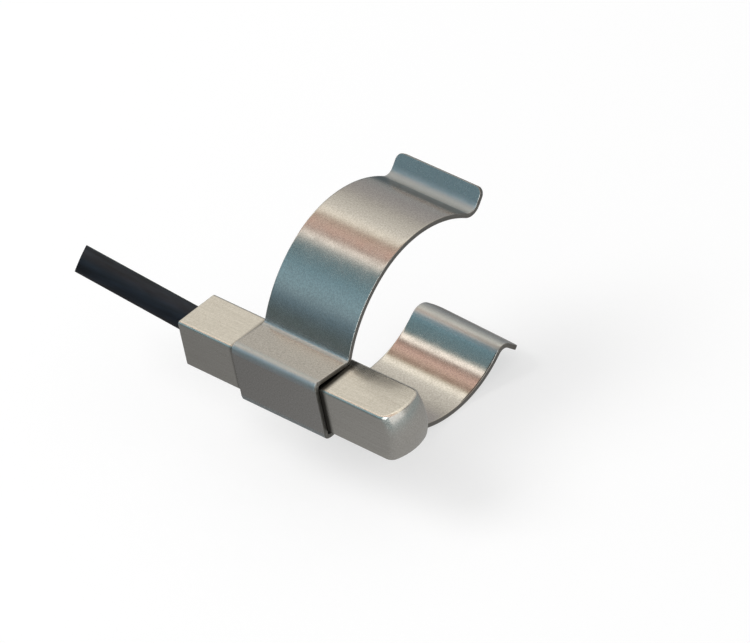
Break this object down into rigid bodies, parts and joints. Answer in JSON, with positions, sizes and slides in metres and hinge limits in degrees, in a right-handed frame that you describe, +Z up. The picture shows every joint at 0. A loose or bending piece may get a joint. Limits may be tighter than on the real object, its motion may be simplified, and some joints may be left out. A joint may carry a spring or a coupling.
{
  "type": "clip-on temperature sensor",
  "caption": "Square steel sensing sleeve with a short cable, held in the channel of a folded spring clip whose arms snap round a pipe.",
  "frame": {"origin": "on the axis of the gripped pipe, at the middle of the clip's width", "axes": "+X along the pipe towards the sleeve's closed end, +Y from the sleeve out of the clip's mouth, +Z up across the mouth"},
  "size_m": [0.0571, 0.0319, 0.0272],
  "materials": {
    "clip_steel": "satin rolled spring steel strip with bright bends",
    "sleeve_steel": "satin drawn steel, fine grain along its length",
    "cable_jacket": "matt near-black jacket",
    "core_plastic_a": "white core insulation",
    "core_plastic_b": "red core insulation",
    "copper": "bare stranded copper",
    "potting": "cast black resin, semi-gloss",
    "filler": "pale mineral filling, dull",
    "liner_film": "amber insulating film",
    "shrink_tube": "shrunk black tube, semi-gloss",
    "chip_ceramic": "white fired ceramic",
    "platinum": "thin printed and fired metal film",
    "chip_glass": "clear fired cover glass",
    "chip_glaze": "opaque fired glaze drop",
    "lead_wire": "drawn bright wire",
    "solder": "bright solder bead"
  },
  "bodies": {
    "root": {"cable_jacket": "cable_jacket", "conductor_a": "copper", "conductor_b": "copper", "core_insulation_a": "core_plastic_a", "core_insulation_b": "core_plastic_b", "cover_glass": "chip_glass", "element_lead_a": "lead_wire", "element_lead_b": "lead_wire", "insulating_liner": "liner_film", "lead_glaze": "chip_glaze", "platinum_film": "platinum", "potting_compound": "potting", "sensing_element": "chip_ceramic", "sensor_sleeve": "sleeve_steel", "shrink_sleeve_a": "shrink_tube", "shrink_sleeve_b": "shrink_tube", "solder_joint_a": "solder", "solder_joint_b": "solder", "spring_clip": "clip_steel", "thermal_filler": "filler"}
  },
  "joints": []
}
